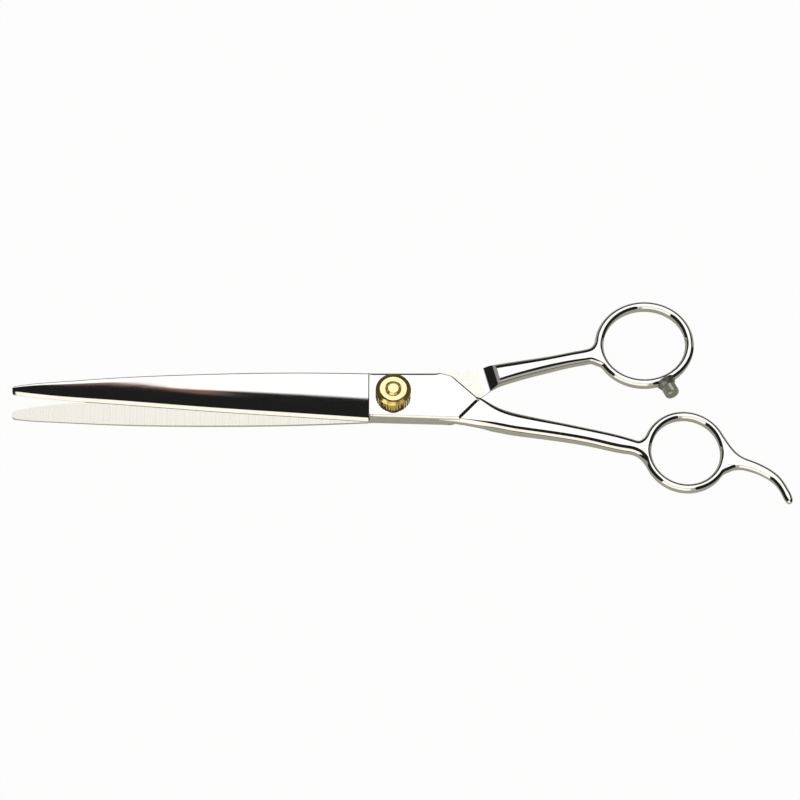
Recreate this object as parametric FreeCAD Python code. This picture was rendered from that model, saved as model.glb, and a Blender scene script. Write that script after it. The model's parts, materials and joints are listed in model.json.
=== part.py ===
"""Hair cutting shears: two crossed blade halves on a thumb-nut pivot, lying flat, slightly open.

Millimetres. The model is laid out about the pivot axis (X = Y = 0) with Z = 0 on the plane where
the two halves slide on each other. Blade tips point to -X, the finger rings to +X. At the end all
solids are moved together so that the origin is the bottom centre of the bounding box.

Both halves are the same hand. Each is built with its outer face up and its ride face at Z = 0, and
the rear half is then turned over about X, so that the two ride faces meet.
"""
import FreeCAD, Part
import math
import os

V = FreeCAD.Vector

# ---- blades ----
BLADE_LENGTH = 108.2        # pivot axis to blade tip
STEP_X = 7.1                # pivot axis to the step where the blade meets the pivot block
RIDE_GAP = 0.03             # each ride face to the plane between the halves
ROUND_LIMIT = 0.45          # most that a rounding takes of a bar's or ring's width or thickness
TINY = 1e-3                 # tolerance for picking edges by where they lie
FRONT_SPINE_ROUND = 0.2     # rounding between spine and outer face, as a share of the height there
REAR_SPINE_ROUND = 0.55
EDGE_SHOULDER = 1.1         # height where the edge bevel starts
BEVEL_WIDTH = 0.75          # width of the edge bevel
EDGE_LAND = 0.12            # blunt height left at the very edge
NARROW_ROUND = 0.3          # most that the rounding and the bevel take of a narrow blade's width
FRONT_NOSE = 0.5            # corner radius of the front blade's narrow tip
REAR_NOSE = 1.2             # corner radius of the rear blade's rounder tip
# (share of the way from step to tip, spine and edge distance from the long axis, height)
FRONT_BLADE = [(0.0, 7.72, -6.4, 2.6), (0.19, 7.98, -5.0, 2.55), (0.47, 7.55, -2.95, 2.4),
               (0.75, 6.29, -0.6, 2.05), (0.87, 5.41, 0.35, 1.85), (0.95, 4.75, 1.25, 1.65),
               (1.0, 4.05, 1.9, 1.4)]
REAR_BLADE = [(0.0, 6.5, -6.1, 2.6), (0.19, 7.25, -4.6, 2.55), (0.47, 7.6, -2.35, 2.4),
              (0.75, 7.05, -0.05, 2.05), (0.87, 6.45, 0.95, 1.85), (0.95, 5.95, 2.05, 1.65),
              (1.0, 5.35, 3.0, 1.4)]

# ---- pivot blocks ----
BLOCK_THICKNESS = 3.0       # outer face of a pivot block above the ride plane
BLOCK_SPINE_ROUND = 1.0     # rounding of its edge on the spine side
BLOCK_EDGE = 0.35           # rounding of its other outer edges
BLOCK_CHAMFER = 0.85        # bevel along its edge side
BLOCK_CORNER = 0.9          # rounding of its corner beside the step
# where the spine side turns into the slanting end, length of the sloped stretch before that and its fall
FRONT_SHOULDER = (16.7, 3.5, 1.1)
REAR_SHOULDER = (17.6, 1.8, 0.5)
CROSSING_X = 24.1           # point where slanting end and crease meet
CROSSING_Y = -0.5
FRONT_BLOCK_SPINE = 7.7     # half widths of the front block, spine side and edge side
FRONT_BLOCK_EDGE = 6.4
FRONT_CREASE = (18.7, -6.75)    # outer end of the crease between front block and shank
REAR_BLOCK_SPINE = 6.4
REAR_BLOCK_EDGE = 6.3
REAR_CREASE = (16.1, -9.1)

# ---- shanks ----
SHANK_THICKNESS = 5.0       # across the shank, through the ride plane
FRONT_SHANK_ROUND = 2.0     # rounding of its edges
REAR_SHANK_ROUND = 1.4
NECK_X = 24.3               # start of the free shank, at the crossing
FRONT_NECK_Y = -4.05
REAR_NECK_Y = -5.5
RUNOUT_X = 26.3             # where the ride face starts to rise into the shank
RUNOUT_RADIUS = 7.3         # radius of that hollow
# root of the shank under the block: (distance from pivot, middle, width)
FRONT_ROOT = [(12.3, -4.0, 5.2), (16.3, -3.75, 6.5), (20.3, -3.55, 8.1)]
REAR_ROOT = [(12.3, -5.85, 5.7), (16.3, -5.5, 7.2), (20.3, -5.35, 8.0)]
# (share of the way from neck to ring, offset from the straight chord, width)
FRONT_SHANK = [(0.0, 0.0, 8.8), (0.055, -0.3, 8.0), (0.105, -0.62, 7.2), (0.2, -0.8, 6.5),
               (0.3, -0.62, 6.0), (0.49, -0.13, 5.3), (0.68, 0.17, 5.0), (0.86, 0.17, 4.8),
               (0.93, 0.0, 4.6), (0.951, -0.2, 5.2), (0.972, -0.25, 7.0), (1.0, -0.2, 10.4)]
REAR_SHANK = [(0.0, 0.0, 9.1), (0.08, -0.45, 7.95), (0.145, -0.83, 6.95), (0.25, -0.96, 6.15),
              (0.4, -0.82, 5.35), (0.6, -0.52, 4.6), (0.8, -0.28, 4.4), (0.89, -0.1, 4.5),
              (0.923, -0.15, 5.0), (0.946, -0.3, 6.3), (0.97, -0.55, 7.8), (1.0, -0.75, 9.6)]

# ---- rings ----
RING_THICKNESS = 3.7
RING_ROUND = 0.95
FINGER_X, FINGER_Y = 82.45, -15.95
FINGER_HOLE = 9.6           # half the short axis of the finger hole
FINGER_STRETCH = 0.45       # how much more half the long axis is
FINGER_TILT = -66.0         # direction of the long axis
FINGER_WALL = 2.4
THUMB_X, THUMB_Y = 71.75, -17.65
THUMB_HOLE = 10.95
THUMB_STRETCH = 0.75
THUMB_TILT = -11.5
THUMB_WALL = 2.55
FRONT_ENTRY = 178.0         # direction from ring centre to where the shank comes in
REAR_ENTRY = 167.5
BAR_DEPTH = 0.4             # how deep a shank or rest sits in the ring's wall, as a share of it

# ---- finger rest, on the front half ----
REST_EXIT = -3.0            # direction from ring centre to where the rest leaves the ring
REST_REACH = 23.7           # straight distance from there to its end
REST_FALL = -40.0           # direction of that distance
REST_THICKNESS = 3.4
REST_END_THICKNESS = 2.2
REST_ROUND = 0.85
# (share of the reach, offset from the straight chord, width, direction of the width)
REST_SHAPE = [(0.0, 0.0, 12.0, 90), (0.07, 0.1, 9.0, 88), (0.154, 0.35, 5.6, 82), (0.23, 0.95, 3.85, 76),
              (0.35, 2.1, 3.15, 68), (0.52, 3.15, 2.9, 60), (0.7, 3.25, 2.65, 43), (0.855, 2.0, 2.4, 25),
              (0.97, 0.5, 1.95, 18), (1.0, 0.0, 1.2, 15)]

# ---- stop bumper, on the thumb ring ----
BUMPER_DIRECTION = 63.5     # from the ring centre, in the rear half's own layout
BUMPER_SEAT_RADIUS = 2.65   # steel collar round the bumper
BUMPER_SEAT_HEIGHT = 0.9    # collar above the ring's outer wall
BUMPER_SEAT_ROOT = 1.0      # collar inside that wall
BUMPER_RADIUS = 2.1
BUMPER_LENGTH = 3.4         # rubber that stands out of the collar
BUMPER_ROUND = 1.2
BUMPER_STEM_RADIUS = 1.1
BUMPER_STEM = 2.0           # stem pushed into the blind hole

# ---- pivot ----
JOURNAL_RADIUS = 2.3        # part of the bolt that the front half turns on
RUNNING_CLEARANCE = 0.03    # journal to bushing
BUSHING_WALL = 0.6
THREAD_RADIUS = 2.0
THREAD_CLEARANCE = 0.06     # plain cylinders stand for the thread
NECK_SQUARE = 5.0           # square of the bolt that keys it in the rear half
NECK_CLEARANCE = 0.02
HEAD_RADIUS = 4.2
HEAD_THICKNESS = 1.3
HEAD_RECESS = 0.1           # head below the rear block's outer face
SLOT_WIDTH = 0.9
SLOT_DEPTH = 0.6
FRICTION_RADIUS = 3.9       # washers under the nut
FRICTION_THICKNESS = 0.5
SPRING_RADIUS = 3.7
SPRING_STOCK = 0.3
SPRING_HEIGHT = 0.7
FLAT_RADIUS = 3.8
FLAT_THICKNESS = 0.4
WASHER_CLEARANCE = 0.1      # washer holes over the thread

# ---- thumb nut ----
NUT_RADIUS = 5.05
NUT_SKIRT_GAP = 0.25        # skirt above the front block
KNURL_TOP = 4.25            # top of the knurled band above the front block
NUT_HEIGHT = 5.5            # cap face above the front block
NUT_FACE_RADIUS = 3.75
SHOULDER_BULGE = 0.16       # bow of the cap's shoulder, as a share of its chord
NUT_RECESS_RADIUS = 4.05    # hollow that takes the washers
KNURL_COUNT = 36
KNURL_DEPTH = 0.22
LOCK_RADIUS = 2.9           # nylon ring that grips the thread
LOCK_HEIGHT = 1.2
LOCK_TOP_WALL = 0.8         # metal above that ring
LOCK_CLEARANCE = 0.02
BOLT_END = 0.45             # bolt end above the cap face
BOLT_END_ROUND = 0.4


def polar(length, degrees):
    return V(length * math.cos(math.radians(degrees)), length * math.sin(math.radians(degrees)), 0)


def tube(radius, bore, low, high):
    place = V(0, 0, low)
    return Part.makeCylinder(radius, high - low, place).cut(Part.makeCylinder(bore, high - low, place))


def rounded_section(centre, across, width, thickness, radius):
    """Closed rounded rectangle: width along the unit vector across, thickness along Z."""
    radius = min(radius, ROUND_LIMIT * width, ROUND_LIMIT * thickness)
    up = V(0, 0, 1)
    corners = [(1, 1), (-1, 1), (-1, -1), (1, -1)]
    arcs = []
    for index, (side, top) in enumerate(corners):
        middle = centre + across * (side * (width / 2 - radius)) + up * (top * (thickness / 2 - radius))
        ends = [across * (side * radius), up * (top * radius)]
        if index % 2:
            ends.reverse()
        knee = (ends[0] + ends[1]) * math.sqrt(0.5)
        arcs.append((middle + ends[0], middle + knee, middle + ends[1]))
    edges = []
    for index, arc in enumerate(arcs):
        edges.append(Part.Arc(*arc).toShape())
        edges.append(Part.LineSegment(arc[2], arcs[(index + 1) % 4][0]).toShape())
    return Part.Wire(edges)


def along_chord(start, end, share, offset):
    """Point beside the straight line from start to end, on its left by offset."""
    chord = end - start
    return start + chord * share + V(-chord.y, chord.x, 0).normalize() * offset


def bar(stations, thickness, end_thickness, radius):
    """Rounded bar through (point, width, direction of the width) stations."""
    sections = []
    for index, (point, width, direction) in enumerate(stations):
        share = index / (len(stations) - 1)
        depth = thickness + (end_thickness - thickness) * share
        sections.append(rounded_section(point, polar(1, direction), width, depth, radius))
    return Part.makeLoft(sections, True, False)


def ring_point(ring, degrees, depth):
    """Point in the ring's wall in a direction from its centre, depth outside the hole."""
    turn = math.radians(degrees - ring["tilt"])
    reach = 1 / math.hypot(math.cos(turn) / ring["long"], math.sin(turn) / ring["short"])
    return ring["centre"] + polar(reach + depth, degrees)


def ring_solid(ring):
    """Flat oval ring with rounded edges."""
    low = V(0, 0, -RING_THICKNESS / 2)
    ovals = []
    for grow in (ring["wall"], 0):
        oval = Part.Ellipse(low, ring["long"] + grow, ring["short"] + grow)
        ovals.append(Part.Face(Part.Wire([oval.toShape()])).extrude(V(0, 0, RING_THICKNESS)))
    solid = ovals[0].cut(ovals[1])
    rims = [edge for edge in solid.Edges if edge.BoundBox.ZLength < TINY]
    solid = solid.makeFillet(min(RING_ROUND, ROUND_LIMIT * ring["wall"]), rims)
    solid.rotate(V(0, 0, 0), V(0, 0, 1), ring["tilt"])
    solid.translate(ring["centre"])
    return solid


def blade_section(x, spine, edge, top, spine_round):
    """Cross-section of a blade: flat ride face, round spine, crowned outer face and edge bevel."""
    turn = min(spine_round * top, NARROW_ROUND * (spine - edge))
    bevel = min(BEVEL_WIDTH, NARROW_ROUND * (spine - edge))
    crown_start = V(x, spine - turn, top)
    crown_end = V(x, edge + bevel, EDGE_SHOULDER)
    run, drop = crown_start.y - crown_end.y, top - EDGE_SHOULDER
    crown = (run * run + drop * drop) / (2 * drop)
    half = 0.5 * math.asin(run / crown)
    crown_middle = V(x, crown_start.y - crown * math.sin(half), top - crown * (1 - math.cos(half)))
    knee = V(x, spine - turn * (1 - math.sqrt(0.5)), top - turn * (1 - math.sqrt(0.5)))
    corners = [V(x, edge, RIDE_GAP), V(x, spine, RIDE_GAP), V(x, spine, top - turn)]
    return Part.Wire([
        Part.LineSegment(corners[0], corners[1]).toShape(),
        Part.LineSegment(corners[1], corners[2]).toShape(),
        Part.Arc(corners[2], knee, crown_start).toShape(),
        Part.Arc(crown_start, crown_middle, crown_end).toShape(),
        Part.LineSegment(crown_end, V(x, edge, RIDE_GAP + EDGE_LAND)).toShape(),
        Part.LineSegment(V(x, edge, RIDE_GAP + EDGE_LAND), corners[0]).toShape(),
    ])


def blade(outline, spine_round, nose):
    reach = BLADE_LENGTH - STEP_X
    sections = [blade_section(-STEP_X - reach * share, spine, edge, top, spine_round)
                for share, spine, edge, top in outline]
    spine, edge, top = outline[-1][1:]
    x = -BLADE_LENGTH
    trim = Part.makeBox(nose, spine - edge + 2 * nose, top, V(x, edge - nose, 0))
    for y in (spine - nose, edge + nose):
        trim = trim.cut(Part.makeCylinder(nose, top, V(x + nose, y, 0)))
    middle = spine - edge - 2 * nose
    if middle > 0:
        trim = trim.cut(Part.makeBox(nose, middle, top, V(x, edge + nose, 0)))
    return Part.makeLoft(sections, True, False).cut(trim)


def block(spine_side, edge_side, crease, shoulder):
    """Pivot block: flat plate whose slanting end and crease meet at the crossing point."""
    shoulder_x, run, drop = shoulder
    corners = [(-STEP_X, spine_side), (shoulder_x - run, spine_side), (shoulder_x, spine_side - drop),
               (CROSSING_X, CROSSING_Y), crease, (-STEP_X, -edge_side)]
    loop = [V(x, y, RIDE_GAP) for x, y in corners]
    plate = Part.Face(Part.makePolygon(loop + loop[:1])).extrude(V(0, 0, BLOCK_THICKNESS - RIDE_GAP))
    beside_step = [edge for edge in plate.Edges if edge.BoundBox.ZLength > BLOCK_THICKNESS / 2
                   and edge.BoundBox.XMax < 0 and edge.BoundBox.YMax < 0]
    plate = plate.makeFillet(BLOCK_CORNER, beside_step)
    beside_edge = [edge for edge in top_rims(plate) if edge.BoundBox.YMax < -BLOCK_CORNER
                   and edge.BoundBox.XLength > edge_side]
    plate = plate.makeChamfer(BLOCK_CHAMFER, beside_edge)
    plate = plate.makeFillet(BLOCK_SPINE_ROUND, [edge for edge in top_rims(plate) if edge.BoundBox.YMin > 0])
    others = [edge for edge in top_rims(plate) if edge.BoundBox.XLength < edge_side and edge.BoundBox.YMin < 0]
    return plate.makeFillet(BLOCK_EDGE, others)


def top_rims(plate):
    return [edge for edge in plate.Edges if edge.BoundBox.ZMin > BLOCK_THICKNESS - TINY]


def handle(neck_y, root, shank, shank_round, entry, ring):
    """Shank and ring. The shank runs back under the block, to be trimmed by the ride face."""
    neck = V(NECK_X, neck_y, 0)
    end = ring_point(ring, entry, ring["wall"] * BAR_DEPTH)
    stations = [(V(x, middle, 0), width, 90) for x, middle, width in root]
    for share, offset, width in shank:
        stations.append((along_chord(neck, end, share, offset), width, 90))
    grip = bar(stations, SHANK_THICKNESS, RING_THICKNESS, shank_round)
    slope = math.degrees(math.atan2(end.y - neck.y, end.x - neck.x))
    return grip.cut(ride_trim(slope)).fuse(ring_solid(ring))


def ride_trim(slope):
    """What grinding the ride face takes away: all below the plane, run out in a hollow."""
    depth = 2 * SHANK_THICKNESS
    reach, span = 2 * RUNOUT_X, 3 * RUNOUT_X
    flat = Part.makeBox(reach, span, depth, V(-reach, -span / 2, RIDE_GAP - depth))
    wheel = Part.makeCylinder(RUNOUT_RADIUS, span, V(0, -span / 2, RIDE_GAP - RUNOUT_RADIUS), V(0, 1, 0))
    tool = flat.fuse(wheel)
    tool.rotate(V(0, 0, 0), V(0, 0, 1), slope)
    tool.translate(V(RUNOUT_X, 0, 0))
    return tool


def finger_rest(ring):
    start = ring_point(ring, REST_EXIT, ring["wall"] * BAR_DEPTH)
    end = start + polar(REST_REACH, REST_FALL)
    stations = [(along_chord(start, end, share, offset), width, direction)
                for share, offset, width, direction in REST_SHAPE]
    return bar(stations, REST_THICKNESS, REST_END_THICKNESS, REST_ROUND)


def bumper_place(shape, ring):
    """Stand a shape built along +Z from Z = 0 on the ring's outer wall at the bumper's place."""
    shape.rotate(V(0, 0, 0), V(0, 1, 0), 90)
    shape.rotate(V(0, 0, 0), V(0, 0, 1), BUMPER_DIRECTION)
    shape.translate(ring_point(ring, BUMPER_DIRECTION, ring["wall"]))
    return shape


def turned(profile):
    """Solid of revolution about Z from (radius, height) corners."""
    loop = [V(radius, 0, height) for radius, height in profile]
    return Part.Face(Part.makePolygon(loop + loop[:1])).revolve(V(0, 0, 0), V(0, 0, 1), 360)


def turn_over(shape):
    shape.rotate(V(0, 0, 0), V(1, 0, 0), 180)
    return shape


finger_ring = {"centre": V(FINGER_X, FINGER_Y, 0), "long": FINGER_HOLE + FINGER_STRETCH,
               "short": FINGER_HOLE, "tilt": FINGER_TILT, "wall": FINGER_WALL}
thumb_ring = {"centre": V(THUMB_X, THUMB_Y, 0), "long": THUMB_HOLE + THUMB_STRETCH,
              "short": THUMB_HOLE, "tilt": THUMB_TILT, "wall": THUMB_WALL}
bushing_bore = JOURNAL_RADIUS + RUNNING_CLEARANCE
bushing_radius = bushing_bore + BUSHING_WALL
washer_bore = THREAD_RADIUS + WASHER_CLEARANCE
nut_bore = THREAD_RADIUS + THREAD_CLEARANCE
face_top = BLOCK_THICKNESS + NUT_HEIGHT


def front_blade_half():
    plate = block(FRONT_BLOCK_SPINE, FRONT_BLOCK_EDGE, FRONT_CREASE, FRONT_SHOULDER)
    grip = handle(FRONT_NECK_Y, FRONT_ROOT, FRONT_SHANK, FRONT_SHANK_ROUND, FRONT_ENTRY, finger_ring)
    half = plate.fuse([blade(FRONT_BLADE, FRONT_SPINE_ROUND, FRONT_NOSE), grip, finger_rest(finger_ring)])
    return half.cut(Part.makeCylinder(bushing_radius, BLOCK_THICKNESS))


def rear_blade_half():
    plate = block(REAR_BLOCK_SPINE, REAR_BLOCK_EDGE, REAR_CREASE, REAR_SHOULDER)
    grip = handle(REAR_NECK_Y, REAR_ROOT, REAR_SHANK, REAR_SHANK_ROUND, REAR_ENTRY, thumb_ring)
    seat = Part.makeCone(BUMPER_SEAT_RADIUS, BUMPER_RADIUS, BUMPER_SEAT_ROOT + BUMPER_SEAT_HEIGHT,
                         V(0, 0, -BUMPER_SEAT_ROOT))
    half = plate.fuse([blade(REAR_BLADE, REAR_SPINE_ROUND, REAR_NOSE), grip, bumper_place(seat, thumb_ring)])
    socket = Part.makeCylinder(BUMPER_STEM_RADIUS, BUMPER_STEM, V(0, 0, BUMPER_SEAT_HEIGHT - BUMPER_STEM))
    width = NECK_SQUARE + 2 * NECK_CLEARANCE
    square = Part.makeBox(width, width, BLOCK_THICKNESS, V(-width / 2, -width / 2, 0))
    sink = Part.makeCylinder(HEAD_RADIUS + NECK_CLEARANCE, HEAD_RECESS + HEAD_THICKNESS,
                             V(0, 0, BLOCK_THICKNESS - HEAD_RECESS - HEAD_THICKNESS))
    return turn_over(half.cut([bumper_place(socket, thumb_ring), square, sink]))


def pivot_bolt():
    """Slotted bolt from the back: sunk head, square neck, journal, thread and rounded end."""
    head_low = -BLOCK_THICKNESS + HEAD_RECESS
    head_high = head_low + HEAD_THICKNESS
    end = face_top + BOLT_END
    bolt = Part.makeCylinder(HEAD_RADIUS, HEAD_THICKNESS, V(0, 0, head_low))
    neck = Part.makeBox(NECK_SQUARE, NECK_SQUARE, -RIDE_GAP - head_high,
                        V(-NECK_SQUARE / 2, -NECK_SQUARE / 2, head_high))
    journal = Part.makeCylinder(JOURNAL_RADIUS, BLOCK_THICKNESS - head_high, V(0, 0, head_high))
    thread = Part.makeCylinder(THREAD_RADIUS, end - head_high, V(0, 0, head_high))
    thread = thread.makeFillet(BOLT_END_ROUND, [e for e in thread.Edges if e.BoundBox.ZMin > end - TINY])
    slot = Part.makeBox(2 * HEAD_RADIUS, SLOT_WIDTH, SLOT_DEPTH, V(-HEAD_RADIUS, -SLOT_WIDTH / 2, head_low))
    return bolt.fuse([neck, journal, thread]).cut(slot)


def spring_washer():
    """Cone-shaped spring washer, pressed to its working height."""
    high = spring_low + SPRING_HEIGHT
    return turned([(SPRING_RADIUS, spring_low), (SPRING_RADIUS, spring_low + SPRING_STOCK),
                   (washer_bore, high), (washer_bore, high - SPRING_STOCK)])


def thumb_nut():
    """Knurled nut, hollow below for the washers, with a groove for the nylon lock ring."""
    low = BLOCK_THICKNESS + NUT_SKIRT_GAP
    knurl_top = BLOCK_THICKNESS + KNURL_TOP
    shoulder_radius = NUT_RADIUS - KNURL_DEPTH / 2
    teeth = []
    for index in range(2 * KNURL_COUNT):
        radius = NUT_RADIUS - (index % 2) * KNURL_DEPTH
        teeth.append(polar(radius, index * 180 / KNURL_COUNT) + V(0, 0, low))
    band = Part.Face(Part.makePolygon(teeth + teeth[:1])).extrude(V(0, 0, knurl_top - low))
    ends = turned([(0, low), (NUT_RADIUS - KNURL_DEPTH, low), (NUT_RADIUS, low + KNURL_DEPTH),
                   (NUT_RADIUS, knurl_top - KNURL_DEPTH), (NUT_RADIUS - KNURL_DEPTH, knurl_top), (0, knurl_top)])
    chord = V(NUT_FACE_RADIUS - shoulder_radius, 0, face_top - knurl_top)
    bulge = V(chord.z, 0, -chord.x) * SHOULDER_BULGE
    start = V(shoulder_radius, 0, knurl_top)
    finish = V(NUT_FACE_RADIUS, 0, face_top)
    centre_top, centre_low = V(0, 0, face_top), V(0, 0, knurl_top)
    profile = Part.Wire([
        Part.LineSegment(centre_low, start).toShape(),
        Part.Arc(start, start + chord * 0.5 + bulge, finish).toShape(),
        Part.LineSegment(finish, centre_top).toShape(),
        Part.LineSegment(centre_top, centre_low).toShape(),
    ])
    cap = Part.Face(profile).revolve(V(0, 0, 0), V(0, 0, 1), 360)
    nut = band.common(ends).fuse(cap)
    bore = Part.makeCylinder(nut_bore, face_top, V(0, 0, 0))
    groove = Part.makeCylinder(LOCK_RADIUS, LOCK_HEIGHT, V(0, 0, lock_low))
    recess = Part.makeCylinder(NUT_RECESS_RADIUS, flat_top - low, V(0, 0, low))
    return nut.cut(bore).cut(groove).cut(recess)


def stop_bumper():
    """Rubber stop: rounded nub with a stem that is pushed into the collar on the thumb ring."""
    low = BUMPER_SEAT_HEIGHT
    nub = Part.makeCylinder(BUMPER_RADIUS, BUMPER_LENGTH, V(0, 0, low))
    nub = nub.makeFillet(BUMPER_ROUND, [e for e in nub.Edges if e.BoundBox.ZMin > low + BUMPER_LENGTH - TINY])
    stem = Part.makeCylinder(BUMPER_STEM_RADIUS, BUMPER_STEM, V(0, 0, low - BUMPER_STEM))
    return turn_over(bumper_place(nub.fuse(stem), thumb_ring))


spring_low = BLOCK_THICKNESS + FRICTION_THICKNESS
flat_low = spring_low + SPRING_HEIGHT
flat_top = flat_low + FLAT_THICKNESS
lock_low = face_top - LOCK_TOP_WALL - LOCK_HEIGHT

nodes = {
    "front_blade_half": front_blade_half(),
    "rear_blade_half": rear_blade_half(),
    "pivot_bolt": pivot_bolt(),
    "pivot_bushing": tube(bushing_radius, bushing_bore, RIDE_GAP, BLOCK_THICKNESS),
    "friction_washer": tube(FRICTION_RADIUS, washer_bore, BLOCK_THICKNESS, spring_low),
    "spring_washer": spring_washer(),
    "flat_washer": tube(FLAT_RADIUS, washer_bore, flat_low, flat_top),
    "thumb_nut": thumb_nut(),
    "nut_lock_ring": tube(LOCK_RADIUS, THREAD_RADIUS + LOCK_CLEARANCE, lock_low, lock_low + LOCK_HEIGHT),
    "stop_bumper": stop_bumper(),
}

# ---- origin at the bottom centre of the bounding box ----
box = Part.makeCompound(list(nodes.values())).optimalBoundingBox(False, False)
shift = V(-(box.XMin + box.XMax) / 2, -(box.YMin + box.YMax) / 2, -box.ZMin)

os.makedirs("parts", exist_ok=True)
for name, shape in nodes.items():
    solid = shape.Solids[0].removeSplitter()
    solid.translate(shift)
    solid.exportStep("parts/" + name + ".step")
    print(name, len(shape.Solids), solid.isValid(), round(solid.Volume, 3))
print("shift", shift)
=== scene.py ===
"""Hair cutting shears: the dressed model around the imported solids.

Each half is modelled in its own layout, in millimetres: pivot axis at X = Y = 0, ride face at Z = 0, outer
face up, blade towards -X and handle towards +X and -Y. The front half keeps that layout, and the rear half
is turned over about X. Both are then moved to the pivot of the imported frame.
"""
import json
import math

import bmesh
import bpy
import numpy as np
from mathutils import Matrix, Vector, geometry

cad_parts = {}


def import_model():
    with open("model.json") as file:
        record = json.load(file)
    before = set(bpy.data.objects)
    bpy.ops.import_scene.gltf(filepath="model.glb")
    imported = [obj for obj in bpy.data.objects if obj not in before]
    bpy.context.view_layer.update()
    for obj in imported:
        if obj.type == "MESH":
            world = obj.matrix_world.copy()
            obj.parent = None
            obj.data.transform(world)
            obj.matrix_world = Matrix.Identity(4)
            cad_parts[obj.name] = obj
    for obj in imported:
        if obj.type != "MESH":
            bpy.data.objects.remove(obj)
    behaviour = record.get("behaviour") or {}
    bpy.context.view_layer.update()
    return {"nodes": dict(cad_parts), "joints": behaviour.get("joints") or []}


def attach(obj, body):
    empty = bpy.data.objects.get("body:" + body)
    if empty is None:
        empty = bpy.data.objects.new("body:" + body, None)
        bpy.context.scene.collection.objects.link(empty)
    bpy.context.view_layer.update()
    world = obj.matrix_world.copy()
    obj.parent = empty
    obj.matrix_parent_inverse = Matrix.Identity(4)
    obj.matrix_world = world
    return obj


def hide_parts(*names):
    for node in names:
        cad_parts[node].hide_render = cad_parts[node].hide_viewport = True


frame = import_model()
nodes = frame["nodes"]

MM = 0.001
PIVOT = next(Vector(j["pos_m"]) for j in frame["joints"] if j["name"] == "blade_pivot")
FRONT = Matrix.Translation(PIVOT) @ Matrix.Scale(MM, 4)
REAR = Matrix.Translation(PIVOT) @ Matrix.Rotation(math.pi, 4, "X") @ Matrix.Scale(MM, 4)

# ---- blades, millimetres ----
BLADE_LENGTH = 108.2        # from pivot to tip
STEP_X = 7.1                # from pivot to the step between block and blade
RIDE_GAP = 0.03             # each ride face lies this far back from the plane between the halves
HANDLE_GAP = 0.034          # and the shank's root this far, just behind the block's ride face
FRONT_SPINE_ROUND = 0.2     # rounding at the spine, as a share of the height there
REAR_SPINE_ROUND = 0.8
EDGE_SHOULDER = 1.1         # height where the crowned face meets the edge bevel
BEVEL_WIDTH = 0.75
EDGE_LAND = 0.12            # height of the cutting edge itself
NARROW_ROUND = 0.3          # most that rounding or bevel takes of the blade's width
FRONT_NOSE = 0.5            # radius of the tip's corners
REAR_NOSE = 1.2
NOSE_SHARE = 0.499          # most that one of them takes of the tip's width
# (share of the way from step to tip, spine and edge distance from the long axis, height)
FRONT_BLADE = [(0.0, 7.72, -6.4, 2.6), (0.19, 7.98, -5.0, 2.55), (0.47, 7.55, -2.95, 2.4),
               (0.75, 6.29, -0.6, 2.05), (0.87, 5.41, 0.35, 1.85), (0.95, 4.75, 1.25, 1.65),
               (1.0, 4.05, 1.9, 1.4)]
REAR_BLADE = [(0.0, 6.5, -6.1, 2.6), (0.19, 7.25, -4.6, 2.55), (0.47, 7.6, -2.35, 2.4),
              (0.75, 7.05, -0.05, 2.05), (0.87, 6.45, 0.95, 1.85), (0.95, 5.95, 2.05, 1.65),
              (1.0, 5.35, 3.0, 1.4)]

# ---- pivot blocks ----
BLOCK_THICKNESS = 3.0
BLOCK_SPINE_ROUND = 1.0
BLOCK_EDGE = 0.35           # rounding where nothing else is said
BLOCK_CHAMFER = 0.55        # bevel along its edge side
CREASE_EDGE = 0.8, 0.42     # reach and height of the low bevel along the crease
END_EDGE = 0.45, 0.24       # and along the slanting end
STEP_EDGE = 0.32, 0.14      # and at the step to the blade
BLOCK_CORNER = 0.9          # radius of the corner between step and edge side
MITRE = 0.8                 # most reach of a rim, as a share of the way to the crossing corner
MITRE_LEFT = 0.02           # reach that is left at the corner itself
# spine and edge distance from the long axis, corner points, and the shoulder's (x, run, drop)
FRONT_BLOCK = {"spine": 7.7, "step_spine": 7.7, "edge": 5.85, "crease": (18.7, -6.75),
               "crossing": (24.4, -0.72), "shoulder": (16.7, 3.5, 1.1)}
REAR_BLOCK = {"spine": 6.4, "step_spine": 5.75, "edge": 6.3, "crease": (16.1, -9.1),
              "crossing": (24.1, -0.5), "shoulder": (17.6, 1.8, 0.5)}

# ---- shanks ----
SHANK_HALF = 2.5            # half thickness at the neck
LOW_ROUND = 2.0             # rounding of its lower edges
# upper rims along a shank's two sides: (distance from pivot, reach, rise, share of bevel)
FRONT_RIMS = ([(19.0, 0.9, 0.9, 1), (29.0, 2.0, 2.5, 0)],
              [(24.5, 0.9, 0.8, 0), (27.0, 1.4, 1.2, 0), (31.0, 1.95, 1.7, 0), (34.0, 2.1, 1.8, 0),
               (47.0, 1.7, 1.5, 0), (64.0, 1.6, 1.4, 0)])
REAR_RIMS = ([(24.0, 2.2, 1.9, 0), (34.0, 2.3, 1.95, 0), (45.0, 1.85, 1.65, 0), (60.0, 1.8, 1.6, 0)],
             [(26.0, 1.5, 1.5, 0), (45.0, 1.7, 1.7, 0), (60.0, 1.1, 1.1, 0)])
ROUND_SHARE = 0.47          # most that one rounding takes of a narrow width
NECK_X = 24.3               # where root and shank meet
RUNOUT_X = 26.3             # where the ride face starts to run out
RUNOUT_RADIUS = 7.3
CUTTER_HALF = 30.0          # half width of the tool that cuts it
FRONT_NECK_Y = -4.05
REAR_NECK_Y = -5.5
# (x, y of the middle, width)
FRONT_ROOT = [(12.3, -4.0, 5.2), (16.3, -3.75, 6.5), (20.3, -3.55, 8.1)]
REAR_ROOT = [(12.3, -5.85, 5.7), (16.3, -5.5, 7.2), (20.3, -5.35, 8.0)]
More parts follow.
